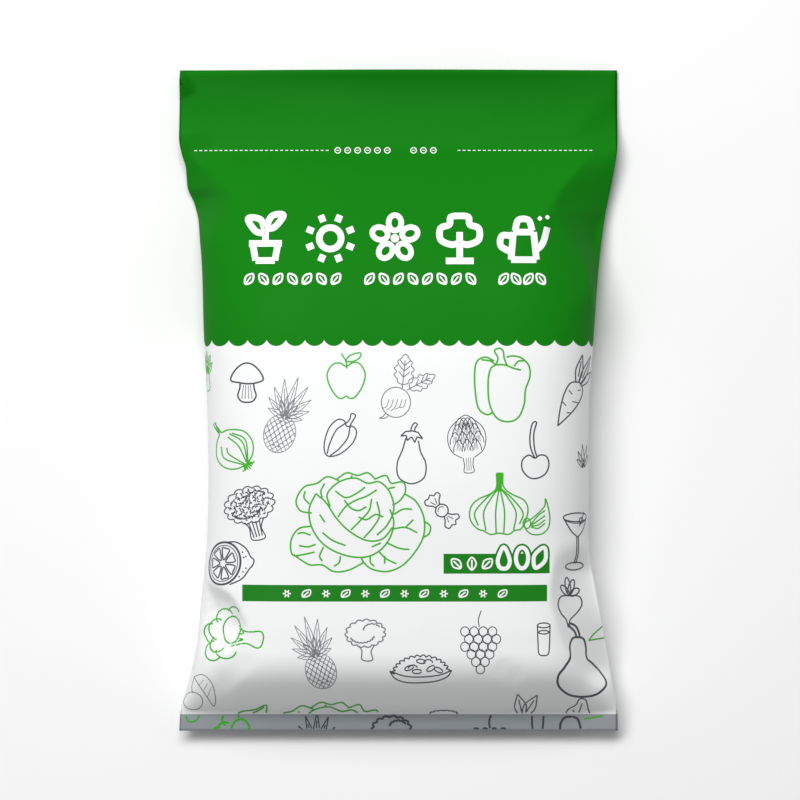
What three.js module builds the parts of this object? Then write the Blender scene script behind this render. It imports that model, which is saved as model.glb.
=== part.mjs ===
// A sealed pillow bag of compost, lying on its back as it comes to rest.
// One solid: a flattened film tube, filled in the middle, with an empty flat header above the fill
// and a narrow flat skirt below the bottom seal. Millimetres, +Z up, +Y towards the header's edge,
// origin on the floor under the middle of the bag.
import * as THREE from "three";

// Driving dimensions
const flatWidth = 350; // lay-flat width of the film tube
const length = 528; // from the header's edge to the skirt's edge, as the filled bag lies
const headerLength = 62; // empty film above the fill
const skirtLength = 14; // film below the bottom seal
const fillHeight = 98; // the thickest part of the filled body
const waistWidth = 304; // the filled body draws the tube in to this width
const sealedThickness = 1; // two films pressed together, with the air that they hold
const fillDepthAtSides = 0.42; // height of the side folds, as a share of the body's height
const cornerReach = 46; // how far in from a side fold the underside touches down

const headerEdge = length / 2;
const skirtEdge = -length / 2;
const headLine = headerEdge - headerLength; // where the fill starts
const sealLine = skirtEdge + skirtLength; // the bottom seal
const shoulderTaper = 195; // length over which the body narrows below the header
const footTaper = 135; // length over which it widens again towards the seal
const headRise = 165; // length over which the top swells below the header
const footRise = 105; // length over which it swells above the seal
const headLift = 70; // length over which the underside comes down to the floor, below the header
const footLift = 48; // the same above the seal
const headLineHeight = 19; // of the film pair where the fill starts
const sealHeight = 22; // of the bottom seal
const skirtEdgeHeight = 17;
const headerEdgeHeight = 2.5; // the header droops until its edge nearly lies on the floor

const pointsAcross = 22; // spans across each of the two films
const bodySpans = 34;
const headerSpans = 5;

const clamp01 = (t) => Math.min(1, Math.max(0, t));
const mix = (a, b, t) => a + (b - a) * t;
const smooth = (t) => t * t * (3 - 2 * t);

// 0 at an end of the fill and 1 from `reach` inwards, round like the end of a pillow.
const swell = (distance, reach) => Math.sin((Math.PI / 2) * clamp01(distance / reach)) ** 0.85;

function halfWidth(y) {
  const drawnIn = (flatWidth - waistWidth) / 2;
  const fromHead = clamp01((headLine - y) / shoulderTaper);
  const fromSeal = clamp01((y - sealLine) / footTaper);
  return waistWidth / 2 + drawnIn * ((1 - fromHead) ** 2.2 + (1 - fromSeal) ** 1.5);
}

// The film pair's height in the header, at the seal and in the skirt.
function pairHeight(y) {
  if (y >= headLine) return mix(headLineHeight, headerEdgeHeight, smooth((y - headLine) / headerLength));
  if (y <= sealLine) return mix(sealHeight, skirtEdgeHeight, (sealLine - y) / skirtLength);
  return mix(sealHeight, headLineHeight, (y - sealLine) / (headLine - sealLine));
}

// Heights of the top, the side folds and the underside at the middle of the station.
function heights(y) {
  const pair = pairHeight(y);
  const fromHead = Math.max(0, headLine - y);
  const fromSeal = Math.max(0, y - sealLine);
  const fill = swell(fromHead, headRise) * swell(fromSeal, footRise);
  const down = smooth(clamp01(fromHead / headLift)) * smooth(clamp01(fromSeal / footLift));
  const top = mix(pair, fillHeight, fill);
  return { top, side: mix(pair, fillDepthAtSides * top, fill * down), under: pair * (1 - down) };
}

// One station's outline, counter-clockwise seen from +Y towards -Y: over the top, then back underneath.
function station(y) {
  const half = halfWidth(y);
  const { top, side, under } = heights(y);
  const skin = sealedThickness / 2;
  const upper = [];
  const lower = [];
  for (let i = 0; i <= pointsAcross; i++) {
    const across = Math.cos((Math.PI * i) / pointsAcross);
    const crown = (1 - Math.abs(across) ** 2.5) ** 0.62;
    upper.push(new THREE.Vector3(half * across, y, side + skin + (top - side - skin) * crown));
    const turn = clamp01((Math.abs(half * across) - (half - cornerReach)) / cornerReach);
    const floor = Math.max(0, under - skin);
    const curl = 1 - Math.sqrt(1 - turn * turn);
    lower.push(new THREE.Vector3(half * across, y, mix(floor, Math.max(floor, side - skin), curl)));
  }
  return [...upper, ...lower.reverse()];
}

// Stations close together where the body swells, and further apart along the middle.
function stationPlaces() {
  const places = [skirtEdge];
  for (let k = 0; k <= bodySpans; k++) {
    const share = k / bodySpans;
    const eased = mix(share, (1 - Math.cos(Math.PI * share)) / 2, 0.75);
    places.push(mix(sealLine, headLine, eased));
  }
  for (let k = 1; k <= headerSpans; k++) places.push(mix(headLine, headerEdge, k / headerSpans));
  return places;
}

// Skins the stations and closes the two thin edges.
function loft(stations) {
  const around = stations[0].length;
  const positions = stations.flat().flatMap((p) => [p.x, p.y, p.z]);
  const index = [];
  for (let j = 0; j + 1 < stations.length; j++) {
    for (let i = 0; i < around; i++) {
      const a = j * around + i;
      const b = j * around + ((i + 1) % around);
      index.push(a, a + around, b, b, a + around, b + around);
    }
  }
  for (const [ring, flip] of [[0, false], [stations.length - 1, true]]) {
    const first = ring * around;
    for (let i = 0; i + 1 < around / 2; i++) {
      const a = first + i;
      const b = first + i + 1;
      const c = first + around - 1 - i;
      const d = first + around - 2 - i;
      if (flip) index.push(a, d, b, a, c, d);
      else index.push(a, b, d, a, d, c);
    }
  }
  const geometry = new THREE.BufferGeometry();
  geometry.setAttribute("position", new THREE.Float32BufferAttribute(positions, 3));
  geometry.setIndex(index);
  geometry.computeVertexNormals();
  return geometry;
}

const printedFilm = new THREE.MeshStandardMaterial({ color: "#f2f2f0", roughness: 0.42, metalness: 0 });

const bag = new THREE.Mesh(loft(stationPlaces().map(station)), printedFilm);
bag.name = "sealed_bag";

const root = new THREE.Group();
root.add(bag);

export default root;
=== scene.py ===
import math

import bpy
import numpy as np
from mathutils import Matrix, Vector


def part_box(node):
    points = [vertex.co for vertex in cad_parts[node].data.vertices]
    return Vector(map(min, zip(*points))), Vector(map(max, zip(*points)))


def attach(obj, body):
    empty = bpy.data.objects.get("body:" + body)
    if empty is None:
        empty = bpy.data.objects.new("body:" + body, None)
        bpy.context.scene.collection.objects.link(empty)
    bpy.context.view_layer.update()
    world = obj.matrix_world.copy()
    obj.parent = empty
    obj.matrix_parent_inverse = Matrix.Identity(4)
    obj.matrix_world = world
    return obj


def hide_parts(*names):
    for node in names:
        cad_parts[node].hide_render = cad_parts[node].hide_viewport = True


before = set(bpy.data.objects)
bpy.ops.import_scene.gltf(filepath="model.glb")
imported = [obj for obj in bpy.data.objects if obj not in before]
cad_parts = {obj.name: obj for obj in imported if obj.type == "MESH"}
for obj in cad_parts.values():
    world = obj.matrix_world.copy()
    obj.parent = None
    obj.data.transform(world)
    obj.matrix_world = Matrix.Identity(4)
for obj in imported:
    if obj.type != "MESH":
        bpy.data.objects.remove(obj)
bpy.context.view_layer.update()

bag_low, bag_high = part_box("sealed_bag")
mm = 0.001

# ---- Camera ------------------------------------------------------------------------------------
# The bag lies on its back, so the camera hangs straight above it and looks down, with the header
# at the top of the view. A long lens keeps the sides of the bag nearly parallel.
scene = bpy.context.scene
view_across = 638 * mm
side_fold_height = 22 * mm
camera_data = bpy.data.cameras.new("camera")
camera_data.lens = 250
camera_data.clip_end = 50
camera = bpy.data.objects.new("camera", camera_data)
camera_drop = view_across * camera_data.lens / camera_data.sensor_width
camera.location = (1.2 * mm, 0, side_fold_height + camera_drop)
scene.collection.objects.link(camera)
scene.camera = camera
scene.view_settings.view_transform = "Standard"

# ---- Film tube -----------------------------------------------------------------------------------
# The bag is one tube of white polyethylene film, printed flat and then filled: welded across the
# foot, with a short skirt below the weld, and welded along the header's edge. The body takes its
# shape from the fill's push against a flat tube, the floor under it and its two straight ends.
tube_width = bag_high.x - bag_low.x  # laid flat
header_length = 62 * mm
skirt_length = 14 * mm
head_line = bag_high.y - header_length  # where the fill starts
seal_line = bag_low.y + skirt_length  # the weld across the foot
fill_height = bag_high.z
waist_width = 304 * mm
body_slack = 1.06  # the film's own length between its ends, against the body's
head_line_height = 19 * mm
header_edge_height = 2.5 * mm
seal_height = 22 * mm
skirt_edge_height = 17 * mm
pair_gap = 0.9 * mm  # between the outer faces of two films that lie together
shoulder_taper = 195 * mm  # length over which the body narrows below the header
foot_taper = 135 * mm  # length over which it widens again towards the weld
head_swell = 165 * mm  # length over which the top swells below the header
foot_swell = 105 * mm  # length over which it swells above the weld
head_lift = 70 * mm  # length over which the underside comes down to the floor, below the header
foot_lift = 48 * mm  # the same above the weld
side_share = 0.42  # height of the side folds, as a share of the body's height
corner_reach = 46 * mm  # how far in from a side fold the underside touches down
crown_power, crown_round = 2.5, 0.62  # how flat the crown is, and how round its shoulders are
columns = 140  # around the tube: the front is the first half
cell = 2 * tube_width / columns


def smooth(t):
    t = np.clip(t, 0, 1)
    return t * t * (3 - 2 * t)


def swell(distance, reach):
    """0 at an end of the fill and 1 from `reach` inwards, round like the end of a pillow."""
    return np.sin(math.pi / 2 * np.clip(distance / reach, 0, 1)) ** 0.85


def half_width(y):
    from_head = np.clip((head_line - y) / shoulder_taper, 0, 1)
    from_seal = np.clip((y - seal_line) / foot_taper, 0, 1)
    drawn_in = (tube_width - waist_width) / 2
    return waist_width / 2 + drawn_in * ((1 - from_head) ** 2.2 + (1 - from_seal) ** 1.5)


def pair_height(y):
    """Height of the two films together in the header, at the foot's weld and in the skirt."""
    droop = smooth((y - head_line) / header_length)
    header = head_line_height + (header_edge_height - head_line_height) * droop
    skirt = seal_height + (skirt_edge_height - seal_height) * (seal_line - y) / skirt_length
    along = (y - seal_line) / (head_line - seal_line)
    between = seal_height + (head_line_height - seal_height) * along
    return np.where(y >= head_line, header, np.where(y <= seal_line, skirt, between))


# Across the tube, from the left side fold over the front to the right one and back underneath.
place = np.arange(columns) / columns * 4
front = place <= 2
across = np.where(front, place - 1, 3 - place)
lay_flat = across * tube_width / 2
body_rows = int(round((head_line - seal_line) * body_slack / cell)) + 1
body_y = np.linspace(seal_line, head_line, body_rows)[:, None]


def rough_body(y):
    """A plain pillow of about the right size, for the fill to push into shape."""
    from_head = np.maximum(0, head_line - y)
    from_seal = np.maximum(0, y - seal_line)
    pair = pair_height(y)
    fill = swell(from_head, head_swell) * swell(from_seal, foot_swell)
    down = smooth(from_head / head_lift) * smooth(from_seal / foot_lift)
    top = pair + (fill_height - pair) * fill
    side = pair + (side_share * top - pair) * fill * down
    spread = np.sin(math.pi / 2 * across) * 0.6 + across * 0.4
    x = half_width(y) * spread
    over = side + (top - side) * (1 - np.abs(spread) ** crown_power) ** crown_round
    turn = np.clip((np.abs(x) - half_width(y)) / corner_reach + 1, 0, 1)
    under = pair * (1 - down) + (side - pair * (1 - down)) * (1 - np.sqrt(1 - turn * turn))
    under = np.where(np.abs(across) == 1, side, under)
    return np.stack([x, y + 0 * x, np.where(front, over, under)], axis=-1)


def tube_faces(rows, around):
    index = np.arange(rows * around).reshape(rows, around)
    beside = np.roll(index, -1, axis=1)
    return np.stack([index[:-1], beside[:-1], beside[1:], index[1:]], axis=-1).reshape(-1, 4)


settling_steps = 40


def fill_tube(body):
    """Pushes the body out with the weight of its fill, on a floor, and returns where it settles."""
    rows = len(body)
    mesh = bpy.data.meshes.new("film_blank")
    mesh.from_pydata(body.reshape(-1, 3).tolist(), [], tube_faces(rows, columns).tolist())
    blank = bpy.data.objects.new("film_blank", mesh)
    scene.collection.objects.link(blank)
    ends = blank.vertex_groups.new(name="ends")
    last = (rows - 1) * columns
    ends.add(list(range(columns)) + list(range(last, last + columns)), 1, "REPLACE")
    blank.shape_key_add(name="Basis")
    flat = blank.shape_key_add(name="laid_flat")
    flat_y = seal_line + (head_line - seal_line) * body_slack * np.linspace(0, 1, rows)[:, None]
    flat_z = np.where(front, 0.1 * mm, -0.1 * mm)
    laid = np.stack(np.broadcast_arrays(lay_flat, flat_y, flat_z), axis=-1)
    flat.data.foreach_set("co", laid.ravel())
    cloth = blank.modifiers.new("fill", "CLOTH")
    settings = cloth.settings
    settings.quality = 6
    settings.mass = 0.0005
    settings.tension_stiffness = settings.compression_stiffness = 80
    settings.shear_stiffness = 20
    settings.bending_stiffness = 10
    settings.bending_damping = 0.5
    settings.air_damping = 5
    settings.vertex_group_mass = "ends"
    settings.pin_stiffness = 1
    settings.rest_shape_key = flat
    settings.use_pressure = True
    settings.uniform_pressure_force = 50
    settings.use_pressure_volume = True
    settings.target_volume = 0.0095
    settings.fluid_density = 0.4
    cloth.collision_settings.use_self_collision = False
    cloth.collision_settings.distance_min = 0.6 * mm
    bpy.ops.mesh.primitive_plane_add(size=3)
    ground = bpy.context.object
    ground.modifiers.new("ground", "COLLISION")
    ground.collision.thickness_outer = 0.5 * mm
    for step in range(1, settling_steps + 1):
        scene.frame_set(step)
    settled = blank.evaluated_get(bpy.context.evaluated_depsgraph_get())
    points = np.empty(rows * columns * 3)
    settled.data.vertices.foreach_get("co", points)
    scene.frame_set(1)
    bpy.data.objects.remove(ground)
    bpy.data.objects.remove(blank)
    return points.reshape(rows, columns, 3)


def finer(points):
    """Twice as many rows and columns, on a cubic curve through the points."""
    sides = np.roll(points, 1, 1), np.roll(points, -1, 1), np.roll(points, -2, 1)
    between = (9 * (points + sides[1]) - sides[0] - sides[2]) / 16
    wide = np.stack([points, between], axis=2).reshape(len(points), -1, 3)
    padded = np.concatenate([2 * wide[:1] - wide[1:2], wide, 2 * wide[-1:] - wide[-2:-1]])
    between = (9 * (padded[1:-2] + padded[2:-1]) - padded[:-3] - padded[3:]) / 16
    rows = np.empty((2 * len(wide) - 1, wide.shape[1], 3))
    rows[0::2] = wide
    rows[1::2] = between
    return rows


# The cloth's small pleats are eased out of the filled body, but not at its side folds.
body = rough_body(body_y)
body = fill_tube(body)
away_from_side = smooth((1 - np.abs(across)) * tube_width / 2 / (40 * mm))[None, :, None]
pleat_easings = 26
for _ in range(pleat_easings):
    eased = (np.roll(body, 1, 1) + 2 * body + np.roll(body, -1, 1)) / 4
    body += (eased - body) * away_from_side
body = finer(body)
columns *= 2
cell /= 2
place = np.arange(columns) / columns * 4
front = place <= 2
across = np.where(front, place - 1, 3 - place)


def film_pair(y):
    """The two films lying together, over the tube's whole flat width."""
    y = y[:, None]
    x = tube_width / 2 * across + 0 * y
    skin = pair_gap / 2 * np.where(np.abs(across) == 1, 0, np.where(front, 1, -1))
    return np.stack([x, y + 0 * x, pair_height(y) + skin], axis=-1)


skirt_rows = int(round(skirt_length / cell))
header_rows = int(round(header_length / cell))
skirt = film_pair(np.linspace(bag_low.y, seal_line, skirt_rows + 1)[:-1])
header = film_pair(np.linspace(head_line, bag_high.y, header_rows + 1)[1:])
body[0] = film_pair(np.array([seal_line]))[0]
body[-1] = film_pair(np.array([head_line]))[0]
tube = np.concatenate([skirt, body, header])
rows = len(tube)
row_y = tube[:, :, 1].mean(axis=1)

# The film can't kink where the fill starts, so those rows are eased into each other.
near_head = np.exp(-(((row_y - head_line) / (9 * mm)) ** 2))
near_seal = np.exp(-(((row_y - seal_line) / (3 * mm)) ** 2)) * 0.5
kink_share = np.maximum(near_head, near_seal)[:, None, None]
kink_easings = 8
for _ in range(kink_easings):
    eased = tube.copy()
    eased[1:-1] = (tube[:-2] + 2 * tube[1:-1] + tube[2:]) / 4
    tube += (eased - tube) * kink_share

# The fill draws the two side folds in along these curves, the left one further at the shoulder.
left_fold = np.array([(-264, 175), (-250, 174), (-223, 167), (-195, 160.5), (-157, 156.5), (-118, 152.5),
                      (-70, 151), (0, 152), (50, 154.5), (125, 158), (150, 161.3), (159, 164), (168, 168.2),
                      (178, 169.4), (187, 170.2), (196, 173), (206, 175), (220, 175), (264, 175)]) * mm
right_fold = np.array([(-264, 175), (-250, 174.5), (-223, 170.5), (-195, 165.5), (-157, 158), (-118, 151.5),
                       (-70, 151), (0, 151.5), (50, 155), (105, 159.5), (150, 165.5), (180, 171.5),
                       (200, 174.5), (214, 175), (226, 175), (264, 175)]) * mm


def curve_through(points, at):
    """A smooth curve through a few points, given by their first coordinate."""
    x, y = points[:, 0], points[:, 1]
    slope = np.gradient(y, x)
    k = np.clip(np.searchsorted(x, at) - 1, 0, len(x) - 2)
    h = x[k + 1] - x[k]
    t = np.clip((at - x[k]) / h, 0, 1)
    return ((2 * t**3 - 3 * t**2 + 1) * y[k] + (t**3 - 2 * t**2 + t) * h * slope[k]
            + (3 * t**2 - 2 * t**3) * y[k + 1] + (t**3 - t**2) * h * slope[k + 1])


# Loose compost settles to a fuller foot and squarer sides than the push of a fluid gives.
half = columns // 2
front_z = tube[:, : half + 1, 2]
pair = pair_height(row_y)[:, None]
from_seal = (row_y - seal_line)[:, None]
crest = front_z[:, half // 2][:, None].copy()
side_z = front_z[:, :1].copy()
foot_rise = np.array([(0, 22), (6, 37), (12, 50), (20, 64), (29, 76), (38, 83.5), (46, 87), (58, 89),
                      (90, 92), (130, 95), (175, 97.5), (230, 99)]) * mm
above_foot = smooth((from_seal - 110 * mm) / (110 * mm))
settled = curve_through(foot_rise, np.clip(from_seal, 0, foot_rise[-1, 0]))
settled = settled * (1 - above_foot) + crest * above_foot
settled = np.where(from_seal > 0, settled, crest)
least_rise, most_rise = 0.7, 1.5
level = np.clip((settled - pair) / np.maximum(crest - pair, 1 * mm), least_rise, most_rise)
front_z[:] = pair + (front_z - pair) * level
tube[:, half + 1 :, 2] *= front_z[:, :1] / side_z
crest = front_z[:, half // 2][:, None].copy()
side_z = front_z[:, :1].copy()
depth = np.maximum(crest - side_z, 1e-6)
share = np.clip((front_z - side_z) / depth, 0, 1)
side_squareness = 1.8
squarer = 1 - (1 - share) ** side_squareness
filled = smooth((crest - side_z) / (20 * mm))
front_z += (squarer - share) * depth * filled
boxy_power = 4
boxy = side_z + depth * (1 - np.abs(across[: half + 1]) ** boxy_power) ** crown_round
near_foot = (from_seal > 0) * (1 - smooth((from_seal - 24 * mm) / (44 * mm)))
front_z += (boxy - front_z) * near_foot

for fold_column, sign, edge in ((0, -1, left_fold), (half, 1, right_fold)):
    side = np.sign(tube[:, :, 0]) == sign
    reach = np.abs(np.where(side, tube[:, :, 0], 0)).max(axis=1)
    wanted = curve_through(edge, tube[:, fold_column, 1])
    stretch = np.clip(wanted / reach, 0.9, 1.1)[:, None]  # a tenth at most
    tube[:, :, 0] = np.where(side, tube[:, :, 0] * stretch, tube[:, :, 0])


def normals(points):
    around = np.roll(points, -1, 1) - np.roll(points, 1, 1)
    along = np.gradient(points, axis=0)
    n = np.cross(around, along)
    return n / np.maximum(np.linalg.norm(n, axis=-1, keepdims=True), 1e-12)


def spline(points, spacing):
    """Points along a smooth curve through the given ones."""
    p = np.asarray(points, float)
    ends = np.concatenate([2 * p[:1] - p[1:2], p, 2 * p[-1:] - p[-2:-1]])
    run = []
    for a, b, c, d in zip(ends[:-3], ends[1:-2], ends[2:-1], ends[3:]):
        t = np.linspace(0, 1, max(2, int(math.dist(b, c) / spacing)), endpoint=False)[:, None]
        run.append(b + (c - a) / 2 * t + (a - 2.5 * b + 2 * c - d / 2) * t**2
                   + (1.5 * (b - c) + (d - a) / 2) * t**3)
    return np.concatenate(run + [p[-1:]])


fold_spacing = 3.0


def press_fold(path, depth, wall, ease, ends=0.3, side=9):
    """Presses the front film in on the right of a path, most steeply beside it, then lets it rise."""
    line = spline(path, fold_spacing) * mm
    heading = np.gradient(line, axis=0)
    upper = tube[:, : half + 1]
    offset = upper[:, :, None, :2] - line
    gap = np.linalg.norm(offset, axis=-1)
    nearest = gap.argmin(axis=-1)
    distance = np.take_along_axis(gap, nearest[..., None], -1)[..., 0]
    way = np.take_along_axis(offset, nearest[..., None, None], -2)[..., 0, :]
    right = heading[nearest, 1] * way[..., 0] - heading[nearest, 0] * way[..., 1] > 0
    along = nearest / (len(line) - 1)
    taper = smooth(along / ends) * smooth((1 - along) / ends)
    side_fade = smooth((1 - np.abs(across[: half + 1])) * tube_width / 2 / (side * mm))
    dip = 1 - (1 - np.clip(distance / (wall * mm), 0, 1)) ** 2
    dip *= 1 - smooth((distance - wall * mm) / (ease * mm))
    push = depth * mm * dip * taper * right * side_fade
    tube[:, : half + 1] -= normals(tube)[:, : half + 1] * push[..., None]


def hollow(path, bow, low_end, high_end, crest=0.0):
    """Lets the front film fall from a raised line straight to the side fold, where nothing fills it."""
    line = np.array(sorted(spline(path, fold_spacing).tolist(), key=lambda point: point[1])) * mm
    crest_reach = 18 * mm
    right = line[0, 0] > 0
    for row in range(rows):
        y = row_y[row]
        if line[0, 1] < y < line[-1, 1]:
            run = tube[row, half // 2 : half + 1] if right else tube[row, half // 2 :: -1]
            x = np.abs(run[:, 0])
            start = abs(np.interp(y, line[:, 1], line[:, 0]))
            strength = smooth((y - line[0, 1]) / (low_end * mm))
            strength *= smooth((line[-1, 1] - y) / (high_end * mm))
            share = np.clip((x - start) / (x[-1] - start), 0, 1)
            near_line = np.exp(-np.abs(x - start) / crest_reach) * (1 - share)
            run[:, 2] += crest * mm * near_line * strength
            level = np.interp(start, x, run[:, 2])
            fallen = run[-1, 2] + (level - run[-1, 2]) * (1 - share) ** bow
            fallen = np.where(x > start, fallen, run[:, 2])
            run[:, 2] += (np.minimum(run[:, 2], fallen) - run[:, 2]) * strength


# The empty header curls up a little along its middle and droops at its right edge. Its left corner
# is turned up along a short ridge, which runs down to a point.
flat_x, flat_y = tube[:, :, 0] / mm, tube[:, :, 1] / mm
in_header = smooth((flat_y - 196) / 22)
curl_height = 14
curl_line = 208 + 34 * ((flat_x - 12) / 150) ** 2
curl = curl_height * np.clip((flat_y - curl_line) / 56, 0, 1) ** 2
droop_depth = 8
droop_line = 130 + 0.8 * (flat_y - 205)
droop = -droop_depth * smooth((flat_x - droop_line) / 34) * smooth((268 - flat_y) / 36)
from_edge = flat_x + 175
corner_line = 239.5 + 0.4 * from_edge  # where the corner starts to turn up
ridge_line = 255 - 0.75 * from_edge
corner_slope = 0.85
rise = np.clip(flat_y - corner_line, 0, np.maximum(ridge_line - corner_line, 0))
turned_up = corner_slope * rise * np.clip(1 - (flat_y - ridge_line) / 9, 0, 1)
tube[:, :, 2] += (curl + droop + turned_up) * in_header * mm

# The right side fold sags where the fill leaves it slack: at the shoulder and at the foot.
at_right = smooth((across - 0.55) / 0.45)
for middle, reach, sag in ((130, 68, 11), (-205, 44, 8)):
    sunk = sag * mm * smooth(1 - np.abs(row_y / mm - middle) / reach)
    lowered = 1 - sunk / np.maximum(tube[:, half, 2], sag * mm)
    tube[:, :, 2] *= 1 - at_right * (1 - lowered[:, None])

# The left one falls from the header to a crease at the shoulder, drops under the crease, and rises
# again further down.
below = 168 - flat_y  # below the crease
fall_to_crease = 11
drop_under_crease = 13
fall = fall_to_crease * np.clip(1 + below / 44, 0, 1) + drop_under_crease * smooth((below + 1) / 8)
fall *= (1 - smooth((below - 8) / 38)) * smooth((-132 - flat_x) / 28) * mm
most_fall = 0.75  # of the film's height over the floor
tube[:, :, 2] -= np.minimum(fall, most_fall * tube[:, :, 2])

# The hollows that the fill left beside the shoulders and the foot, and the folds in the front.
hollow([(169, 222), (153.5, 198), (139, 180), (128, 165), (123.5, 153), (129, 144), (136, 135),
        (144, 119), (152, 92), (156, 60)], bow=1.0, low_end=24, high_end=34, crest=5.0)
hollow([(-174, 222), (-168, 202), (-159, 187), (-147, 176), (-141, 168), (-145, 157), (-152, 144)],
       bow=1.1, low_end=30, high_end=20, crest=1.5)
hollow([(125, -112), (121, -140), (120, -158), (125, -178), (133, -197), (142, -214), (152, -232)],
       bow=1.3, low_end=20, high_end=26)
press_fold([(118, 155), (138, 150), (172, 148)], depth=3, wall=14, ease=30, ends=0.2, side=10)
press_fold([(-163, -138), (-147, -146), (-131, -155), (-122, -172), (-114, -192)],
           depth=11, wall=20, ease=30)
press_fold([(-107, -202), (-122, -219), (-143, -238)], depth=1.8, wall=10, ease=16)
press_fold([(92, -230), (82, -222), (70, -213)], depth=1.4, wall=8, ease=14)

# One light easing takes the grid's edges off the folds, and the film stays just clear of the floor.
easing_share = 0.4
eased = (tube[:-2] + 2 * tube[1:-1] + tube[2:]) / 4
eased = (np.roll(eased, 1, 1) + 2 * eased + np.roll(eased, -1, 1)) / 4
clear = smooth((1 - np.abs(across)) * tube_width / 2 / (12 * mm))
clear = clear * (row_y[1:-1, None] > seal_line + 4 * mm)
tube[1:-1] += (eased - tube[1:-1]) * clear[..., None] * easing_share
floor_gap = 0.1 * mm
tube[:, :, 2] = np.maximum(tube[:, :, 2], floor_gap)

mesh = bpy.data.meshes.new("film_tube")
faces = tube_faces(rows, columns).tolist()
for first, flip in ((0, True), ((rows - 1) * columns, False)):
    for i in range(half):
        a, b = first + i, first + i + 1
        c, d = first + (columns - i - 1) % columns, first + (columns - i) % columns
        ring = [a, b, c] if i == 0 else [a, b, d] if i == half - 1 else [a, b, c, d]
        faces.append(ring[::-1] if flip else ring)
mesh.from_pydata(tube.reshape(-1, 3).tolist(), [], faces)
mesh.polygons.foreach_set("use_smooth", [True] * len(mesh.polygons))
film = bpy.data.objects.new("film_tube", mesh)
scene.collection.objects.link(film)

# The print's own coordinates: across and along as seen from above, with the film's stretch on the
# steep sides held down, and on the back from its middle.
most_stretch = 1.5
across_steps = np.linalg.norm(np.diff(tube[:, : half + 1], axis=1), axis=-1)
seen_steps = np.abs(np.diff(tube[:, : half + 1, 0], axis=1))
print_steps = np.maximum(seen_steps, across_steps / most_stretch)
print_x = np.concatenate([np.zeros((rows, 1)), np.cumsum(print_steps, axis=1)], axis=1)
print_x -= print_x[:, half // 2 : half // 2 + 1]
back_x = np.linspace(-tube_width / 2, tube_width / 2, half + 1)

# The film's own map has the front on its left half, the back on its right half, and the edges of the
# header and the skirt in a strip between them.
flat_print = np.empty((len(mesh.loops), 2))
own_map = np.empty((len(mesh.loops), 2))
margin = 0.005
chart_width, chart_length = 0.485, 0.99
back_start = 0.51
strip_x, strip_gap = 0.497, 0.006
corner = 0
for number, face in enumerate(mesh.polygons):
    column = number % columns if number < (rows - 1) * columns else None
    for vertex in face.vertices:
        row, i = divmod(vertex, columns)
        on_back = (i if i else columns) - half
        up = margin + chart_length * row / (rows - 1)
        if column is None:
            from_left = i / half if i <= half else 2 - i / half
            own_map[corner] = strip_x + strip_gap * (i > half), 0.01 + 0.48 * from_left + 0.5 * (row > 0)
        elif column < half:
            own_map[corner] = margin + chart_width * i / half, up
        else:
            own_map[corner] = back_start + chart_width * on_back / half, up
        if column is None or column < half:
            place_x = print_x[row, i if i <= half else columns - i]
        else:
            place_x = back_x[on_back]
        flat_print[corner] = place_x, tube[row, i, 1]
        corner += 1
for name, places in (("print", flat_print), ("OFBake", own_map)):
    mesh.uv_layers.new(name=name).data.foreach_set("uv", places.ravel())


class Wire:
    """A socket of a material, so that shader maths reads as an expression."""

    def __init__(self, tree, socket=None):
        self.tree = tree
        self.socket = socket

    def node(self, kind, settings=None, sockets=None, out=0):
        made = self.tree.nodes.new(kind)
        for name, value in (settings or {}).items():
            setattr(made, name, value)
        for name, value in (sockets or {}).items():
            if isinstance(value, Wire):
                self.tree.links.new(value.socket, made.inputs[name])
            else:
                made.inputs[name].default_value = value
        return Wire(self.tree, made.outputs[out])

    def math(self, operation, *values):
        return self.node("ShaderNodeMath", {"operation": operation}, dict(enumerate(values)))

    def __add__(self, other):
        return self.math("ADD", self, other)

    def __radd__(self, other):
        return self.math("ADD", other, self)

    def __sub__(self, other):
        return self.math("SUBTRACT", self, other)

    def __rsub__(self, other):
        return self.math("SUBTRACT", other, self)

    def __mul__(self, other):
        return self.math("MULTIPLY", self, other)

    def __rmul__(self, other):
        return self.math("MULTIPLY", other, self)

    def __truediv__(self, other):
        return self.math("DIVIDE", self, other)

    def step(self, low, high):
        """0 below low and 1 above high, with a smooth change between them."""
        return self.node("ShaderNodeMapRange", {"interpolation_type": "SMOOTHSTEP"},
                         {"Value": self, "From Min": low, "From Max": high})

    def blend(self, first, second):
        """The first colour where this mask is 0 and the second where it is 1."""
        return self.node("ShaderNodeMix", {"data_type": "RGBA"}, {0: self, 6: first, 7: second}, 2)


def ink(red, green, blue):
    """A printed colour, given as it looks in full light from 0 to 255."""
    values = [v / 255 for v in (red, green, blue)]
    return [v / 12.92 if v <= 0.04045 else ((v + 0.055) / 1.055) ** 2.4 for v in values] + [1]


film_finish = bpy.data.materials.new("film")
film_finish.use_nodes = True
tree = film_finish.node_tree
shader = tree.nodes["Principled BSDF"]
wire = Wire(tree)
at = wire.node("ShaderNodeUVMap", {"uv_map": "print"})
print_at_x = wire.node("ShaderNodeSeparateXYZ", sockets={0: at})
print_at_y = wire.node("ShaderNodeSeparateXYZ", sockets={0: at}, out=1)
in_bag = wire.node("ShaderNodeTexCoord", out=3)

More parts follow.
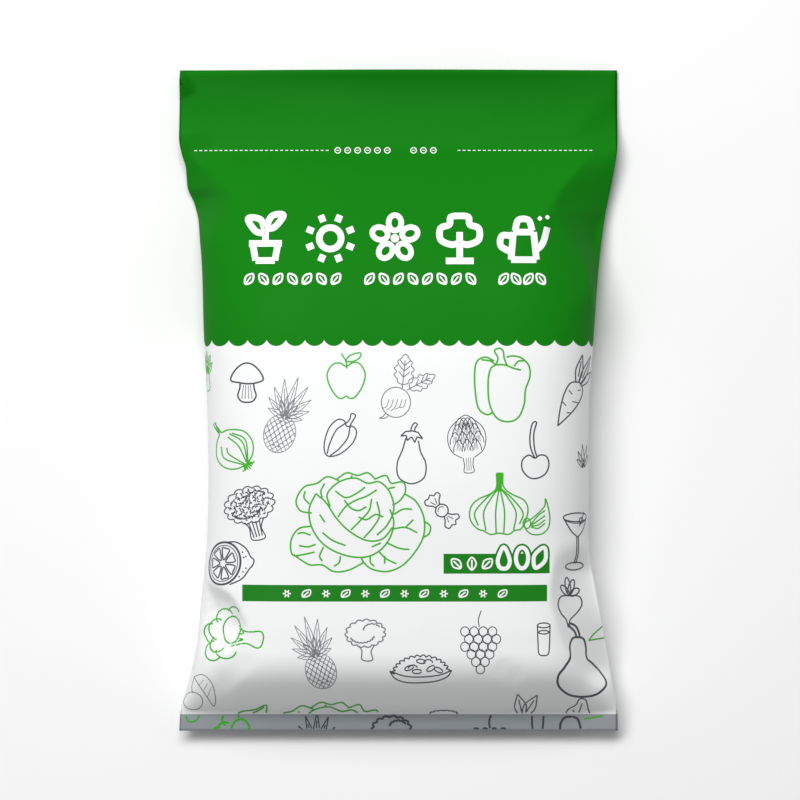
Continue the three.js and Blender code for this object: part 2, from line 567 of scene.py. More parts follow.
# The green field ends in a row of scallops.
scallop = 15.07 * mm
scallop_radius = 8.4 * mm
border_line = 42.3 * mm  # the lowest points of the scallops
cusp_x = -148.6 * mm
turn = wire.math("FRACT", (print_at_x - cusp_x) / scallop) - 0.5
sideways = turn * scallop
drop = wire.math("SQRT", scallop_radius**2 - sideways * sideways)
ink_edge = 0.2 * mm
green_field = (print_at_y + drop).step(border_line + scallop_radius - ink_edge,
                                       border_line + scallop_radius + ink_edge)
# Below the foot's weld the skirt is painted a flat cool grey, as painted shade over the whole skirt.
skirt_line = -250.5 * mm
painted_skirt_shade_mask = 1 - print_at_y.step(skirt_line - 0.3 * mm, skirt_line + 0.3 * mm)
cloudy = wire.node("ShaderNodeTexNoise", sockets={"Vector": in_bag, "Scale": 9.0, "Detail": 3.0})
# The green darkens towards the header's top edge as painted shade. A soft cloud also varies its tone at
# random.
painted_header_shade = print_at_y.step(205 * mm, 262 * mm)
light_green, deep_tone_and_shade_green, weld_green = ink(19, 127, 18), ink(7, 102, 8), ink(19, 122, 18)
greens = (painted_header_shade * 0.45 + cloudy * 0.25).blend(light_green, deep_tone_and_shade_green)
weld = print_at_y.step(259.4 * mm, 260 * mm)
greens = (weld * 0.6).blend(greens, weld_green)
whites = cloudy.blend(ink(247, 248, 248), ink(241, 243, 243))
painted_skirt_shade = ink(156, 162, 166)
colour = green_field.blend(whites, greens)
colour = painted_skirt_shade_mask.blend(colour, painted_skirt_shade)
tree.links.new(colour.socket, shader.inputs["Base Color"])
fine = wire.node("ShaderNodeTexNoise", sockets={"Vector": in_bag, "Scale": 260.0, "Detail": 4.0})
lumps = wire.node("ShaderNodeTexNoise", sockets={"Vector": in_bag, "Scale": 38.0, "Detail": 2.0})
rough = 0.4 + green_field * 0.16 + cloudy * 0.1 + fine * 0.06
tree.links.new(rough.socket, shader.inputs["Roughness"])
relief = wire.node("ShaderNodeBump", sockets={"Height": lumps * 0.8 + fine * 0.12, "Strength": 0.25,
                                              "Distance": 0.6 * mm})
tree.links.new(relief.socket, shader.inputs["Normal"])
shader.inputs["Specular IOR Level"].default_value = 0.05
mesh.materials.append(film_finish)
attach(film, "root")
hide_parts("sealed_bag")

# ---- Inks ----------------------------------------------------------------------------------------
# The front carries garden drawings in green and two greys, a heading of five white signs, a tear
# line and two green fields. Each ink is a thin skin on the film, printed before it was filled.
run_on = 28  # columns of the back that the front's print may run on to, past each side fold
back_cells = np.arange(1, run_on + 1) * cell
front_columns = np.arange(-run_on, half + run_on + 1)
front_x = np.concatenate([print_x[:, :1] - back_cells[::-1], print_x, print_x[:, -1:] + back_cells], axis=1)
back_columns = np.arange(half, 2 * half + 1)
film_normals = normals(tube)


class Panel:
    """One side of the bag, which turns places on the print into places on the film."""

    def __init__(self, columns_used, x):
        ring = columns_used % columns
        self.grid = np.concatenate([tube[:, ring], film_normals[:, ring], x[..., None]], axis=-1)
        self.middle = float(np.argmin(np.abs(x[rows // 2])))

    def sample(self, row, column):
        r = np.clip(row.astype(int), 0, rows - 2)
        c = np.clip(column.astype(int), 0, self.grid.shape[1] - 2)
        f, g = (row - r)[:, None], (column - c)[:, None]
        low = self.grid[r, c] * (1 - g) + self.grid[r, c + 1] * g
        high = self.grid[r + 1, c] * (1 - g) + self.grid[r + 1, c + 1] * g
        return low * (1 - f) + high * f

    def on_film(self, flat, lift):
        row = np.interp(flat[:, 1], row_y, np.arange(rows))
        column = self.middle + flat[:, 0] / cell
        for _ in range(16):  # each pass comes nearer to the place
            found = self.sample(row, column)
            column += (flat[:, 0] - found[:, 6]) / cell
            row += (flat[:, 1] - found[:, 1]) / cell
            row = np.clip(row, 0, rows - 1.001)
            column = np.clip(column, 0, self.grid.shape[1] - 1.001)
        found = self.sample(row, column)
        return found[:, :3] + found[:, 3:6] * lift[:, None]


front_panel = Panel(front_columns, front_x)
back_panel = Panel(back_columns, np.broadcast_to(back_x, (rows, half + 1)))


class Ink:
    """The places and faces of one printed colour."""

    def __init__(self, name, colour, roughness):
        self.name = name
        self.colour = colour
        self.roughness = roughness
        self.places = []
        self.faces = []
        self.count = 0

    def add(self, panel, flat, lift, faces):
        flat = np.asarray(flat, float) * mm
        lift = np.broadcast_to(np.asarray(lift, float) * mm, len(flat))
        self.places.append((panel, flat, lift))
        self.faces.append(np.asarray(faces) + self.count)
        self.count += len(flat)

    def dry(self):
        """Makes the ink's piece, once everything in this colour is printed."""
        points = np.empty((self.count, 3))
        which = [np.full(len(flat), panel is back_panel) for panel, flat, lift in self.places]
        which = np.concatenate(which)
        flat = np.concatenate([flat for panel, flat, lift in self.places])
        lift = np.concatenate([lift for panel, flat, lift in self.places])
        for panel, chosen in ((front_panel, ~which), (back_panel, which)):
            if chosen.any():
                points[chosen] = panel.on_film(flat[chosen], lift[chosen])
        points[:, 2] = np.maximum(points[:, 2], 0.02 * mm)
        skin = bpy.data.meshes.new(self.name)
        skin.from_pydata(points.tolist(), [], [f for part in self.faces for f in part.tolist()])
        skin.polygons.foreach_set("use_smooth", [True] * len(skin.polygons))
        piece = bpy.data.objects.new(self.name, skin)
        scene.collection.objects.link(piece)
        finish = bpy.data.materials.new(self.name)
        finish.use_nodes = True
        made = finish.node_tree.nodes["Principled BSDF"]
        made.inputs["Base Color"].default_value = self.colour
        made.inputs["Specular IOR Level"].default_value = 0.2
        tree = Wire(finish.node_tree)
        grain = tree.node("ShaderNodeTexNoise", sockets={"Scale": 420.0, "Detail": 2.0,
                          "Vector": tree.node("ShaderNodeTexCoord", out=3)})
        uneven = self.roughness + grain * 0.12
        finish.node_tree.links.new(uneven.socket, made.inputs["Roughness"])
        pressed = tree.node("ShaderNodeBump", sockets={"Height": grain, "Strength": 0.12,
                                                       "Distance": 0.2 * mm})
        finish.node_tree.links.new(pressed.socket, made.inputs["Normal"])
        skin.materials.append(finish)
        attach(piece, "root")


class Pen:
    """Draws about a place on a panel, in millimetres, as someone facing the panel sees it."""

    bevel = 0.08  # how much lower a line's two edges lie than its middle

    def __init__(self, ink, x, y, turn=0, size=1, width=1.0, lift=0.14, panel=None, cut=(-249.9, 263)):
        self.ink, self.x, self.y, self.size, self.width, self.lift = ink, x, y, size, width, lift
        self.panel = panel or front_panel
        self.cut = cut
        self.cos, self.sin = math.cos(math.radians(turn)), math.sin(math.radians(turn))

    def place(self, points):
        p = np.asarray(points, float) * self.size
        return np.stack([self.x + p[:, 0] * self.cos - p[:, 1] * self.sin,
                         self.y + p[:, 0] * self.sin + p[:, 1] * self.cos], axis=-1)

    def ribbon(self, path, width, closed=False):
        """A line of ink along a path, cut off where the artwork ends."""
        inside = (path[:, 1] > self.cut[0]) & (path[:, 1] < self.cut[1])
        if not inside.all():
            runs = np.split(np.arange(len(path)), np.flatnonzero(np.diff(inside)) + 1)
            for run in runs:
                if inside[run[0]] and len(run) > 1:
                    self.ribbon(path[run], width)
            return
        ahead = np.roll(path, -1, 0) - np.roll(path, 1, 0) if closed else np.gradient(path, axis=0)
        ahead /= np.maximum(np.linalg.norm(ahead, axis=1, keepdims=True), 1e-9)
        left = np.stack([-ahead[:, 1], ahead[:, 0]], axis=-1)
        bands = 2 * max(1, round(width / 3.2))
        share = np.linspace(-0.5, 0.5, bands + 1)
        flat = path[:, None] + left[:, None] * (share * width)[None, :, None]
        lift = np.where(np.abs(share) == 0.5, self.lift - self.bevel, self.lift)
        n, m = len(path), bands + 1
        index = np.arange(n * m).reshape(n, m)
        after = np.roll(index, -1, 0)
        if not closed:
            index, after = index[:-1], after[:-1]
        faces = np.stack([index[:, :-1], after[:, :-1], after[:, 1:], index[:, 1:]], -1)
        self.ink.add(self.panel, flat.reshape(-1, 2), np.tile(lift, n), faces.reshape(-1, 4))

    def curve(self, *points, closed=False, width=None):
        if closed:
            points = [*points[-2:], *points, *points[:2]]
        path = spline(self.place(points), 1.1)
        if closed:
            start = self.place(points)
            first = np.linalg.norm(path - start[2], axis=1).argmin()
            last = len(path) - 1 - np.linalg.norm(path[::-1] - start[-2], axis=1).argmin()
            path = path[first:last]
        self.ribbon(path, width or self.width, closed)

    def line(self, *points, width=None):
        for a, b in zip(points, points[1:]):
            steps = max(2, int(math.dist(a, b) * self.size / 1.5) + 1)
            t = np.linspace(0, 1, steps)[:, None]
            self.ribbon(self.place(np.asarray(a, float) * (1 - t) + np.asarray(b, float) * t),
                        width or self.width)

    def oval(self, x, y, rx, ry=None, start=0, end=360, tilt=0, width=None):
        ry = ry or rx
        steps = max(8, int(abs(end - start) / 360 * 2 * math.pi * max(rx, ry) * self.size / 1.1))
        a = np.radians(np.linspace(start, end, steps + 1))
        c, s = math.cos(math.radians(tilt)), math.sin(math.radians(tilt))
        points = np.stack([x + rx * np.cos(a) * c - ry * np.sin(a) * s,
                           y + rx * np.cos(a) * s + ry * np.sin(a) * c], axis=-1)
        closed = end - start == 360
        self.ribbon(self.place(points[:-1] if closed else points), width or self.width, closed)

    def field(self, low, high):
        """A filled rectangle."""
        x = np.linspace(low[0], high[0], max(2, int((high[0] - low[0]) / 2)))
        y = np.linspace(low[1], high[1], max(2, int((high[1] - low[1]) / 2)))
        flat = self.place(np.stack(np.meshgrid(x, y), -1).reshape(-1, 2))
        index = np.arange(len(x) * len(y)).reshape(len(y), len(x))
        faces = np.stack([index[:-1, :-1], index[:-1, 1:], index[1:, 1:], index[1:, :-1]], -1)
        self.ink.add(self.panel, flat, self.lift, faces.reshape(-1, 4))

    def blob(self, *outline):
        """A filled shape that its middle can see all of."""
        rim = self.place(spline([*outline, outline[0]], 1.2)[:-1])
        middle = rim.mean(axis=0)
        rings = max(2, int(np.abs(rim - middle).max() / 2.2) + 1)
        flat = [middle[None]] + [middle + (rim - middle) * k / rings for k in range(1, rings + 1)]
        n = len(rim)
        index = 1 + np.arange(rings * n).reshape(rings, n)
        beside = np.roll(index, -1, 1)
        faces = np.stack([index[:-1], index[1:], beside[1:], beside[:-1]], -1).reshape(-1, 4)
        fan = np.stack([np.zeros(n, int), index[0], beside[0], beside[0]], -1)
        lift = np.concatenate([np.full(1 + n * (rings - 1), self.lift), np.full(n, self.lift - self.bevel)])
        turned = np.cross(rim[1] - rim[0], middle - rim[0]) < 0
        faces = np.concatenate([faces, fan])
        self.ink.add(self.panel, np.concatenate(flat), lift, faces[:, ::-1] if turned else faces)


grey_ink = Ink("grey_line_print", ink(74, 77, 84), 0.4)
pale_ink = Ink("pale_line_print", ink(124, 127, 133), 0.4)
green_ink = Ink("green_line_print", ink(66, 176, 40), 0.4)
white_ink = Ink("white_print", ink(249, 250, 249), 0.36)
field_ink = Ink("green_field_print", ink(24, 126, 23), 0.4)


def blade(pen, x, y, turn, reach, half_wide, rib=False):
    """A long pointed leaf that grows from a point."""
    s, c = math.sin(math.radians(turn)), math.cos(math.radians(turn))
    for side in (-1, 1):
        shape = [(0.45 * side * half_wide, 0), (side * half_wide, 0.45 * reach), (0, reach)]
        pen.curve(*[(x + a * c + b * s, y - a * s + b * c) for a, b in shape])
    if rib:
        pen.line((x + 0.2 * reach * s, y + 0.2 * reach * c), (x + 0.75 * reach * s, y + 0.75 * reach * c))


def frilled(pen, x, y, rx, ry, bumps, start=0, end=360, deep=0.13):
    """A cloud outline, as round a head of florets."""
    a = np.radians(np.linspace(start, end, bumps * 7 + 1))
    swell_out = 1 + deep * np.abs(np.sin(np.linspace(0, bumps * math.pi, bumps * 7 + 1)))
    points = list(zip(x + rx * swell_out * np.cos(a), y + ry * swell_out * np.sin(a)))
    if end - start == 360:
        pen.curve(*points[:-1], closed=True)
    else:
        pen.curve(*points)


def wavy_leaf(pen, x, y, turn, reach, half_wide):
    """A beet's leaf, with a wavy edge, a rib and veins."""
    s, c = math.sin(math.radians(turn)), math.cos(math.radians(turn))

    def put(a, b):
        return x + a * c + b * s, y - a * s + b * c

    t = np.linspace(0, 1, 22)
    edge = half_wide * np.sin(math.pi * t**0.8) ** 0.7 * (1 + 0.16 * np.sin(t * 27))
    for side in (-1, 1):
        pen.curve(*[put(side * e, reach * (0.1 + 0.9 * k)) for e, k in zip(edge, t)])
    pen.line(put(0, 0), put(0, 0.82 * reach))
    for k in (0.32, 0.5, 0.66):
        for side in (-1, 1):
            pen.line(put(0, k * reach), put(side * half_wide * 0.6, (k + 0.16) * reach))


def mushroom(pen):
    pen.curve((-12.8, 1.5), (-11.3, 7), (-6, 13), (0, 15.3), (6, 13), (11.3, 7), (12.8, 2), (7, -0.4),
              (0, -1), (-7, 0), closed=True)
    pen.curve((-5.4, -1), (-5.8, -5), (-7.3, -10.5), (-4.5, -14.8), (0, -15.6), (4.5, -14.8),
              (7.3, -10.5), (5.8, -5), (5.4, -1))
    for x in (-3.4, -1.2, 1.2, 3.4):
        pen.line((x * 0.8, -2), (x * 1.2, -13), width=0.5)


def crown_of_leaves(pen, base):
    for turn, reach in ((-78, 15), (-56, 20), (-36, 25), (-17, 30), (2, 33), (21, 30), (40, 25), (60, 20),
                        (82, 14)):
        blade(pen, 0, base, turn, reach, 2.6, rib=True)
    for turn, reach in ((-28, 15), (-9, 18), (11, 18), (30, 15)):
        blade(pen, 0, base - 1, turn, reach, 2.4)


def pineapple(pen):
    pen.oval(0, 0, 12.4, 15.2)
    for lean in (-1, 1):
        for k in range(-4, 5):
            t = np.linspace(-16, 16, 60)
            x = k * 4.3 + lean * t * 0.66 + 0.012 * lean * t * np.abs(t)
            inside = (x / 12.2) ** 2 + (t / 15) ** 2 < 1
            if inside.sum() > 5:
                kept = list(zip(x[inside], t[inside]))
                pen.curve(*kept[:: max(1, len(kept) // 6)], kept[-1])
    for row in range(-3, 4):
        for k in range(-2, 3):
            x, y = k * 4.3 + (row % 2) * 2.15, row * 3.3
            if (x / 10) ** 2 + (y / 12.5) ** 2 < 1:
                pen.oval(x, y, 0.5)
    crown_of_leaves(pen, 13.5)


def apple(pen):
    pen.curve((0, 8), (-5, 10.6), (-11, 9), (-14.9, 1.5), (-12.5, -8), (-6.8, -16.2), (-2.6, -17),
              (0, -15.2), (2.6, -17), (7, -16), (12.8, -7.5), (14.9, 2), (11, 9.6), (5.5, 11), closed=True)
    pen.curve((0.6, 6.4), (-0.2, 12), (-3.8, 18.2))
    pen.curve((0, 12.4), (3, 16.4), (9, 18.5), (11.8, 17.8), (9.8, 14), (4.5, 11.6), closed=True)


def long_pepper(pen):
    pen.curve((0, 11.5), (-4, 14), (-9, 12), (-11.2, 3), (-8, -9), (-3, -15.8), (2, -16), (8, -9),
              (11.2, 3), (9, 12), (4, 14), closed=True)
    pen.curve((-2.4, 12.4), (-5.4, 4), (-3.8, -8), (-1.2, -15.5))
    pen.curve((2.4, 12.4), (5.6, 4), (4.6, -7), (1.6, -15.6))
    pen.curve((-2.6, 12), (-1.4, 14.6), (-1.2, 18), (-2.4, 22), (1.2, 22.6), (1.6, 18), (1.8, 14.4), (3, 12))


def beet(pen):
    pen.oval(0, 0, 11.4, 11.8)
    for k in (-6, -2.6, 0.8, 4.2, 7.4):
        pen.curve((k - 5, -7.5 + abs(k) * 0.5), (k - 1.4, -3.5), (k + 0.6, 2.4), width=0.6)
    pen.curve((-8, -8.4), (-10, -11), (-13.4, -12.4))
    pen.curve((-5.8, -10.2), (-8.4, -12.4), (-13.4, -12.4))
    wavy_leaf(pen, 5, 11, 6, 27, 7)
    wavy_leaf(pen, 8.6, 9.6, 62, 25, 5.4)


def bell_pepper(pen):
    pen.curve((-6, 19.6), (-13, 22.6), (-19.6, 19), (-21.4, 8), (-20.4, -8), (-18, -18), (-12, -22.4),
              (-7.4, -21))
    pen.curve((-4.6, 16.8), (-9, 13), (-10.8, 2), (-9.6, -14), (-4, -25), (5, -28), (13, -24.6),
              (17.6, -14), (18.6, -3), (22, 7), (21.4, 15.6), (16, 21.6), (9, 23.6), (3.6, 22.6))
    pen.curve((-16, 20.6), (-9, 19.6), (-4.6, 16.8), (2, 16.6), (9, 14), (15, 12.4))
    pen.curve((9.6, 15.4), (13, 19.4), (17.6, 19.8))
    pen.curve((-4.6, 16.8), (-3, 22), (-5.8, 27.6), (-1.6, 29.6), (1.2, 27), (1.8, 22), (4, 16.4))


def carrot(pen):
    for side in (-1, 1):
        pen.curve((0, 15.8), (side * 6.4, 12), (side * 7.4, 3), (side * 4.6, -10), (0, -23))
    for y, side in ((11, 1), (6, -1), (1, 1), (-4.4, -1), (-9, 1)):
        pen.line((side * (7 - abs(y) * 0.26), y), (side * 1.4, y - 1.6), width=0.8)
    blade(pen, -2, 15, -16, 22, 3.4, rib=True)
    blade(pen, 0.6, 15, 6, 27, 3.4, rib=True)
    blade(pen, 2.6, 15, 30, 20, 2.8)


def aubergine(pen):
    pen.curve((-4.4, 12), (-7, 3), (-11.2, -8), (-9.8, -19), (0, -23.8), (9.8, -19), (11.2, -8), (7.2, 1),
              (5.4, 10))
    pen.line((-8.4, 13.6), (-4, 14), (-3.4, 10), (0, 13), (2.6, 8.6), (4.4, 13), (8.8, 11.4), (5.2, 16.4),
             (0.8, 17.6), (-4.6, 17.2), (-8.4, 13.6))
    pen.curve((-0.6, 17.4), (0.2, 21), (2.6, 24), (4.6, 22.6), (2.8, 20), (2.4, 17.2))


def artichoke(pen):
    pen.curve((-5, -11), (-12, -6), (-15, 3), (-13, 12), (-6, 19), (0, 22.4), (6, 19), (13, 12), (15, 3),
              (12, -6), (5, -11))
    for row, (y, wide) in enumerate(((-1, 10), (5, 12), (11, 10), (16, 6))):
        count = 4 if row % 2 else 3
        for k in range(count):
            x = (k - (count - 1) / 2) * 2 * wide / count
            pen.curve((x - 4.2, y - 5), (x - 3.8, y - 1), (x, y + 4.4), (x + 3.8, y - 1), (x + 4.2, y - 5))
            for hatch in (-1.6, 0, 1.6):
                pen.line((x + hatch, y - 4), (x + hatch * 0.5, y + 1), width=0.4)
    pen.curve((-4, -11), (-3.2, -17), (-3.6, -22.4), (3.8, -22.4), (3.4, -17), (4.4, -11))
    for x in (-1.4, 0.2, 1.8):
        pen.line((x, -11), (x, -21), width=0.4)


def cherry(pen):
    pen.curve((-0.6, -6.4), (-5.4, -4), (-10.4, -8), (-10.4, -15.6), (-5, -21.6), (1.4, -22.2), (8, -18.4),
              (10.6, -11), (8.4, -5), (3.4, -4), closed=True)
    pen.curve((-0.6, -6.6), (-4, 2), (-4.4, 12), (-2.4, 21), (0.8, 21.8), (-1.4, 13), (-1, 2), (1, -5.4))


def onion(pen):
    pen.curve((-1, 16), (-8, 13), (-15.4, 5), (-15.6, -5), (-9.6, -12.8), (0, -15.8), (9.6, -12.8),
              (15.6, -5), (15.4, 5), (8, 13), (1, 16))
    pen.curve((-1, 16), (-1.4, 21), (-1.2, 27))
    pen.curve((1, 16), (1, 21), (0.8, 27))
    pen.curve((0, 17), (0, 22), (1.8, 26))
    for bulge, top in ((-10.4, 8), (-5.4, 4), (4.6, 10), (9, 11), (12, 10)):
        pen.curve((bulge * 0.62, top), (bulge, -1), (bulge * 0.2, -15))
    for k in range(-3, 4):
        pen.curve((k * 0.7, -15.4), (k * 1.5, -18.6), (k * 2.1, -21 + abs(k)))


def garlic(pen):
    pen.curve((-2.4, 24), (-2.4, 13), (-7, 8), (-17, 3.4), (-22.6, -3), (-23, -12), (-18, -19),
              (-12, -21.4), (-7, -24), (0, -23), (7, -24), (12, -21), (17, -19.6), (20.6, -13), (22.4, -4),
              (19, 3), (9, 8), (3, 14), (2.6, 24))
    for spread, low in ((-19.4, -17), (-12.4, -21), (-3, -22.6), (4, -22.8), (13, -20.6), (18.4, -16)):
        pen.curve((spread * 0.07, 12), (spread * 0.55, 4), (spread, -7), (spread * 0.86, low))
    for x in (-1.4, -0.5, 0.5, 1.4):
        pen.line((x, 24), (x * 0.9, 10))
    pen.line((-2.4, 24), (2.6, 24))


def garlic_clove(pen):
    pen.curve((-9.6, -5), (-3.6, -1), (2.6, 4.4), (6.4, 9), (6.8, 14.4), (9.4, 6), (10.4, -2), (9, -9),
              (4, -13.4), (-3, -13.8), (-8, -10.6), closed=True)
    pen.oval(-7.8, -5, 3, 4)
    for lift_up in (-9, -6.4, -3, 1):
        pen.curve((-4.6, -6 + lift_up * 0.2), (1, lift_up), (6.6, lift_up + 4))


def wrapped_sweet(pen):
    pen.oval(0, 0, 5)
    pen.oval(0, 0, 3, start=110, end=250, width=0.7)
    twist = ((4.6, 2), (7.4, 3.6), (10.4, 7.4), (13.4, 6.2), (12.8, 3), (15.4, 1), (13.8, -1.6), (14.4, -5),
             (11, -6.4), (7.4, -3.2), (4.6, -2))
    for side in (-1, 1):
        pen.curve(*[(side * x, y) for x, y in twist])
        pen.line((side * 6.4, 0.6), (side * 11, 2.4), width=0.7)
        pen.line((side * 6.4, -0.6), (side * 10.6, -2.2), width=0.7)


def lettuce(pen):
    """A head with its outer leaves lying open around the cupped, folded heart."""
    heart = (
        ((-33, 22), (-38, 10), (-36, -4), (-27, -17), (-12, -25), (4, -27), (16, -22), (24, -12), (27, 0),
         (24, 10)),
        ((-33, 22), (-25, 15), (-17, 3), (-7, -7), (6, -14), (18, -13), (26, -4)),
        ((-22, 12), (-24, 22), (-15, 31), (-3, 34), (7, 30), (16, 31), (24, 23), (27, 10), (22, -2),
         (14, -10)),
        ((-16, 4), (-10, 12), (-2, 17), (6, 20), (14, 25)), ((-6, -6), (1, 1), (8, 9), (10, 18)),
        ((4, -12), (11, -4), (16, 5), (14, 16)), ((-18, 24), (-10, 19), (-2, 22), (5, 27)),
        ((-11, 17), (-6, 11), (0, 9), (6, 12)), ((0, 4), (6, 2), (13, 6), (19, 4)))
    outer_leaves = (
        ((-36, 7), (-45, 9), (-48, 17), (-42, 27), (-32, 30), (-24, 35), (-15, 32)),
        ((-17, 33), (-9, 38), (-1, 36), (7, 38), (13, 33)),
        ((12, 33), (21, 36), (25, 30), (34, 31), (36, 24), (32, 17), (26, 13)),
        ((35, 22), (44, 16), (50, 4), (50, -10), (44, -22), (34, -33), (22, -38), (10, -36), (4, -31),
         (2, -27)),
        ((50, 1), (55, -3), (54, -9), (49, -12)),
        ((-36, -3), (-46, -5), (-52, -14), (-51, -25), (-43, -25), (-34, -23)),
        ((-50, -25), (-43, -30), (-37, -33), (-28, -33), (-19, -38), (-8, -37), (4, -31)))
    ribs = (
        ((-37, -10), (-43, -8), (-47, -9)), ((-33, -17), (-39, -19), (-46, -18)),
        ((-27, -19), (-30, -26), (-28, -30)), ((-14, -26), (-15, -31), (-19, -34)),
        ((9, -26), (9, -31), (12, -34)), ((15, -22), (21, -28), (29, -32)), ((20, -26), (20, -32)),
        ((22, -16), (31, -20), (39, -21)), ((27, -5), (36, -4), (45, -8)), ((36, -4), (42, 2)),
        ((27, 6), (34, 10), (41, 10)), ((-38, 14), (-42, 19), (-41, 24)), ((-28, 19), (-29, 24), (-26, 30)),
        ((-6, 34), (-5, 36)), ((23, 26), (28, 27)), ((-28, -8), (-20, -14), (-10, -18)),
        ((10, -19), (17, -16)), ((-30, 6), (-26, 0)))
    for edge in (*heart, *outer_leaves, *ribs):
        pen.curve(*edge)


def floret(pen):
    """Broccoli with its stalk down."""
    frilled(pen, 0, 6, 16.5, 11.5, 15)
    frilled(pen, -3, 4, 10, 6, 9, 190, 350)
    frilled(pen, 6, 9, 7, 5, 6, 20, 180)
    pen.curve((-6.6, -5), (-4.4, -10), (-4.6, -18), (4.6, -19), (4, -11), (7.6, -5))


def dotted_floret(pen):
    """The same with its buds, set round in a sunflower's spiral, and a ribbed stalk."""
    floret(pen)
    buds = 90
    spiral_turn = 2.39996
    for k in range(buds):
        r, a = math.sqrt((k + 0.5) / buds), k * spiral_turn
        pen.oval(r * 15 * math.cos(a), 6.4 + r * 10.4 * math.sin(a), 0.8, start=k * 40, end=k * 40 + 200)
    for x in (-3, -1, 1, 3):
        pen.line((x * 1.3, -6), (x, -17))


def big_floret(pen):
    """Broccoli in broad rounds, with its stalk to the right."""
    for x, y, rx, ry, start, end in (
            (-2, 3, 7.6, 10.4, 0, 360), (-9.6, 13, 7, 6, 20, 232), (-1, 16, 6, 5, 12, 165),
            (-14.6, 3, 6.6, 8, 60, 270), (-20, 0, 5, 7, 70, 262), (-13, -8, 6.4, 6.4, 130, 350),
            (-5, -13, 8, 6, 175, 355), (-15.4, -13.4, 7, 7.6, 100, 330)):
        pen.oval(x, y, rx, ry, start=start, end=end)
    pen.curve((4, 6.6), (9, 2.6), (15.6, 2), (22, 2.4), (24.4, -1.4), (22.6, -8.6), (19, -10.4), (11, -7),
              (3, -8.4), (-1, -9.4))
    pen.curve((4.6, 4.4), (9, 0.6), (4.4, 0))
    pen.curve((3, -3.6), (8.4, -4), (2, -6.4))


def lemon(pen):
    pen.oval(-5, 0, 13.6, 16.6, tilt=-12, width=1.6)
    pen.oval(-5, 0, 11.4, 14.2, tilt=-12, width=0.7)
    segments = 7
    for k in range(segments):
        a = math.radians(k * 360 / segments + 12)
        b = math.radians(k * 360 / segments + 49)
        tip = (-5 + 2.4 * math.cos((a + b) / 2), 2.8 * math.sin((a + b) / 2))
        rind = (a, a * 0.65 + b * 0.35, a * 0.35 + b * 0.65, b)
        pen.curve(tip, *[(-5 + 9.6 * math.cos(t), 12 * math.sin(t)) for t in rind], closed=True)
    pen.curve((-4, 16.6), (4, 17.6), (12, 13.6), (16, 8), (19, 5.6), (18.4, 1.6), (16, -2), (11, -10),
              (2, -15.6))
    for x, y in ((9, 11), (12, 8), (10.4, 7), (11, -4), (8.4, -8), (13, -1)):
        pen.line((x, y), (x + 0.9, y - 0.9))


def stem_glass(pen):
    pen.oval(0, 18, 12, 3.4)
    pen.curve((-12, 18), (-6, 8), (-1, 3.4), (0, 2.8), (1, 3.4), (6, 8), (12, 18))
    pen.curve((-10, 15.4), (-4, 13.6), (4, 13.6), (10, 15.4), width=0.7)
    pen.line((-0.8, 3), (-0.8, -18))
    pen.line((0.8, 3), (0.8, -18))
    pen.oval(0, -20, 8, 3)
    pen.oval(4, 15.4, 2.2)
    pen.line((2, 11), (7.6, 22))


def sprig(pen):
    for turn, reach in ((-58, 10), (-34, 14), (-10, 18), (16, 19), (40, 14)):
        blade(pen, 0, -9, turn, reach, 1.8)


def radish(pen):
    pen.curve((0, 6.4), (-7.6, 6), (-10.6, 0), (-8, -7), (-3, -12.4), (-1, -18.4), (0.8, -12.6),
              (6.6, -7.4), (10.6, -1), (8.6, 5.4), closed=True)
    for turn, reach in ((-42, 11), (-8, 14.6), (24, 13.6), (62, 10)):
        a = math.radians(turn)
        pen.oval(1.8 * math.sin(a) * 3, 6 + reach * 0.5 * math.cos(a) + 0.6, 2.4, reach * 0.48, tilt=-turn)


def salad_plate(pen):
    pen.curve((-24.4, -2), (-20, -8.4), (-10, -12), (8, -12), (20, -8.6), (24.4, -3))
    pen.curve((-24.4, -2), (-12, -6.6), (2, -7.6), (15, -6.4), (24.4, -3))
    frilled(pen, 0, -5, 20.5, 13.5, 14, 2, 178, 0.12)
    for x, y, turn in ((-9, 0, 20), (0.6, 5, -10), (8, -1, 30), (-3, -3, 0), (14, -2.4, -30)):
        pen.oval(x, y, 3.6, 1.7, tilt=turn, start=10, end=350)
    frilled(pen, -6, -1, 3.4, 3, 4, 20, 170)
    frilled(pen, 6, 3, 3.4, 3, 4, 10, 160)


def grapes(pen):
    for row, count in enumerate((4, 4, 4, 3, 2, 1)):
        for k in range(count):
            x = (k - (count - 1) / 2) * 7.2 + (1.6 if row % 2 else -1.4) * (count == 4)
            pen.oval(x, 8.4 - row * 6, 3.4, 3.7)
    pen.curve((-1, 12), (-1.6, 18), (0.6, 25))


def tumbler(pen):
    pen.oval(0, 11, 5, 1.9)
    pen.curve((-5, 11), (-4.6, -2), (-3.8, -11.4), (0, -12.8), (3.8, -11.4), (4.6, -2), (5, 11))
    pen.oval(0, 5.6, 4, 1.4)


def pear(pen):
    pen.curve((0, 19.2), (-6, 18.6), (-9.6, 13), (-10.4, 4), (-15, -3.6), (-20, -10.6), (-19.4, -19),
              (-11, -26.4), (0, -28.4), (11.6, -26.4), (20, -18.6), (20.4, -9), (14.6, -2.4), (8.6, 2.4),
              (7.8, 11), (5, 17.6), closed=True)
    pen.curve((-1.6, 19), (-4, 24), (-9, 28.4), (-8.6, 30.6), (-3, 28), (0.4, 22.6), (1.2, 19))


def cherry_with_leaf(pen):
    pen.oval(-6, -7, 8, 7.4)
    pen.curve((-6, -0.4), (-7.4, 6), (-6, 13))
    pen.curve((-6, 13), (3, 15), (10, 8), (12.4, -4), (10.6, -11), (5.6, -3), (-1, 7), (-6, 13))
    for k in (0.3, 0.5, 0.7):
        pen.line((-6 + 17 * k, 13 - 24 * k), (-1 + 15 * k, 15 - 14 * k), width=0.4)


